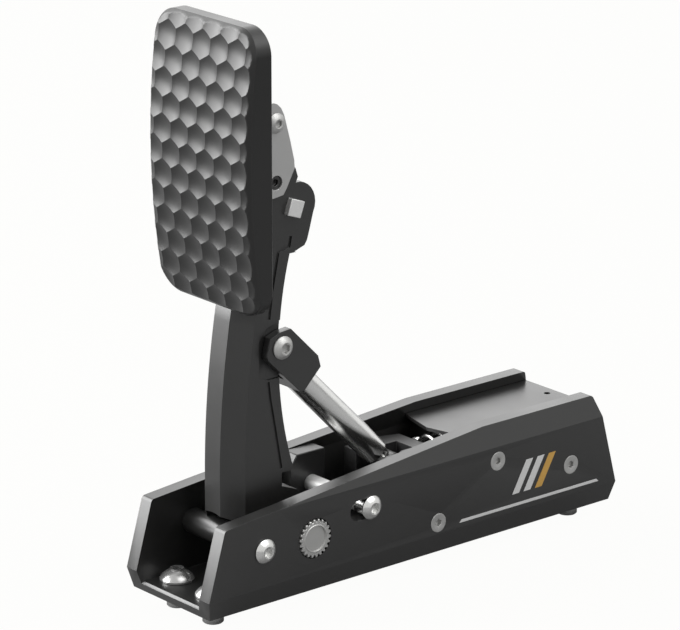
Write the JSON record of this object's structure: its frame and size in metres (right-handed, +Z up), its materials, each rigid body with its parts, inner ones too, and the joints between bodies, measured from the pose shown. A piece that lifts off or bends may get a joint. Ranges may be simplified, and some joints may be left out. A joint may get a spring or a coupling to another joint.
{
  "type": "driving game foot pedal module",
  "caption": "Single foot pedal module for driving games: channel base, lever arm with a dimpled pad, push rod, sprung carriage and side adjusters.",
  "frame": {"origin": "centre of the bounding box on the surface that the floor bolts stand on", "axes": "+Z up, +Y towards the rear of the base, away from the foot, +X to the side with the toothed knob"},
  "size_m": [0.068, 0.24, 0.2648],
  "materials": {
    "satin_black": "satin",
    "pad_black": "satin",
    "grey_anodised": "satin",
    "polished_steel": "polished",
    "spring_steel": "polished",
    "stainless": "satin",
    "zinc": "satin",
    "cell_aluminium": "satin",
    "rubber": "matte"
  },
  "bodies": {
    "base": {"base_channel": "satin_black", "deck_plate": "satin_black", "floor_bolts": "polished_steel", "pivot_sleeve": "polished_steel", "pivot_spacers": "satin_black", "pivot_bolts": "stainless", "guide_rail": "satin_black", "cell_housing": "satin_black", "side_screws": "zinc", "spring": "spring_steel", "spring_seat": "polished_steel", "elastomer": "rubber", "load_cell": "cell_aluminium", "rear_cover": "satin_black", "cable_grommet": "rubber"},
    "pedal": {"arm": "satin_black", "arm_bushes": "zinc", "pad_plate": "pad_black", "pad_bracket_left": "grey_anodised", "pad_bracket_right": "grey_anodised", "bracket_screws": "stainless", "bracket_pins": "zinc", "pad_screws": "zinc", "lobe_pin": "zinc"},
    "rod": {"rod_fork": "satin_black", "fork_bolt": "stainless", "fork_nut": "zinc", "push_rod": "polished_steel", "rod_eye": "satin_black"},
    "sled": {"carriage": "grey_anodised", "carriage_pin": "polished_steel", "pin_set_screws": "zinc", "spring_guide": "polished_steel"},
    "stop": {"stop_bar": "polished_steel", "stop_block": "grey_anodised", "slot_bolts": "stainless"},
    "adjuster": {"adjuster_knob": "zinc", "cam_shaft": "polished_steel", "shaft_cap": "zinc"}
  },
  "joints": [
    {"name": "pedal_hinge", "type": "hinge", "parent": "base", "child": "pedal", "pos_m": [0, -0.0892, 0.0334], "axis": [-1, 0, 0], "range_deg": [0, 6], "stiffness_Nm_per_rad": 60, "springref_deg": -1.72},
    {"name": "rod_hinge", "type": "hinge", "parent": "pedal", "child": "rod", "pos_m": [0, -0.0688, 0.1183], "axis": [1, 0, 0], "range_deg": [0, 8.2]},
    {"name": "carriage_slide", "type": "slide", "parent": "base", "child": "sled", "axis": [0, 1, 0], "range_m": [0, 0.0115], "deforming": ["spring"]},
    {"name": "stop_slide", "type": "slide", "parent": "base", "child": "stop", "axis": [0, -1, 0], "range_m": [0, 0.007]},
    {"name": "knob_turn", "type": "hinge", "parent": "base", "child": "adjuster", "pos_m": [0, -0.0612, 0.0325], "axis": [1, 0, 0], "continuous": true}
  ],
  "couplings": [
    {"joint": "rod_hinge", "follows": "pedal_hinge", "ratio": 1.3317},
    {"joint": "carriage_slide", "follows": "pedal_hinge", "m_per_rad": 0.10786}
  ]
}
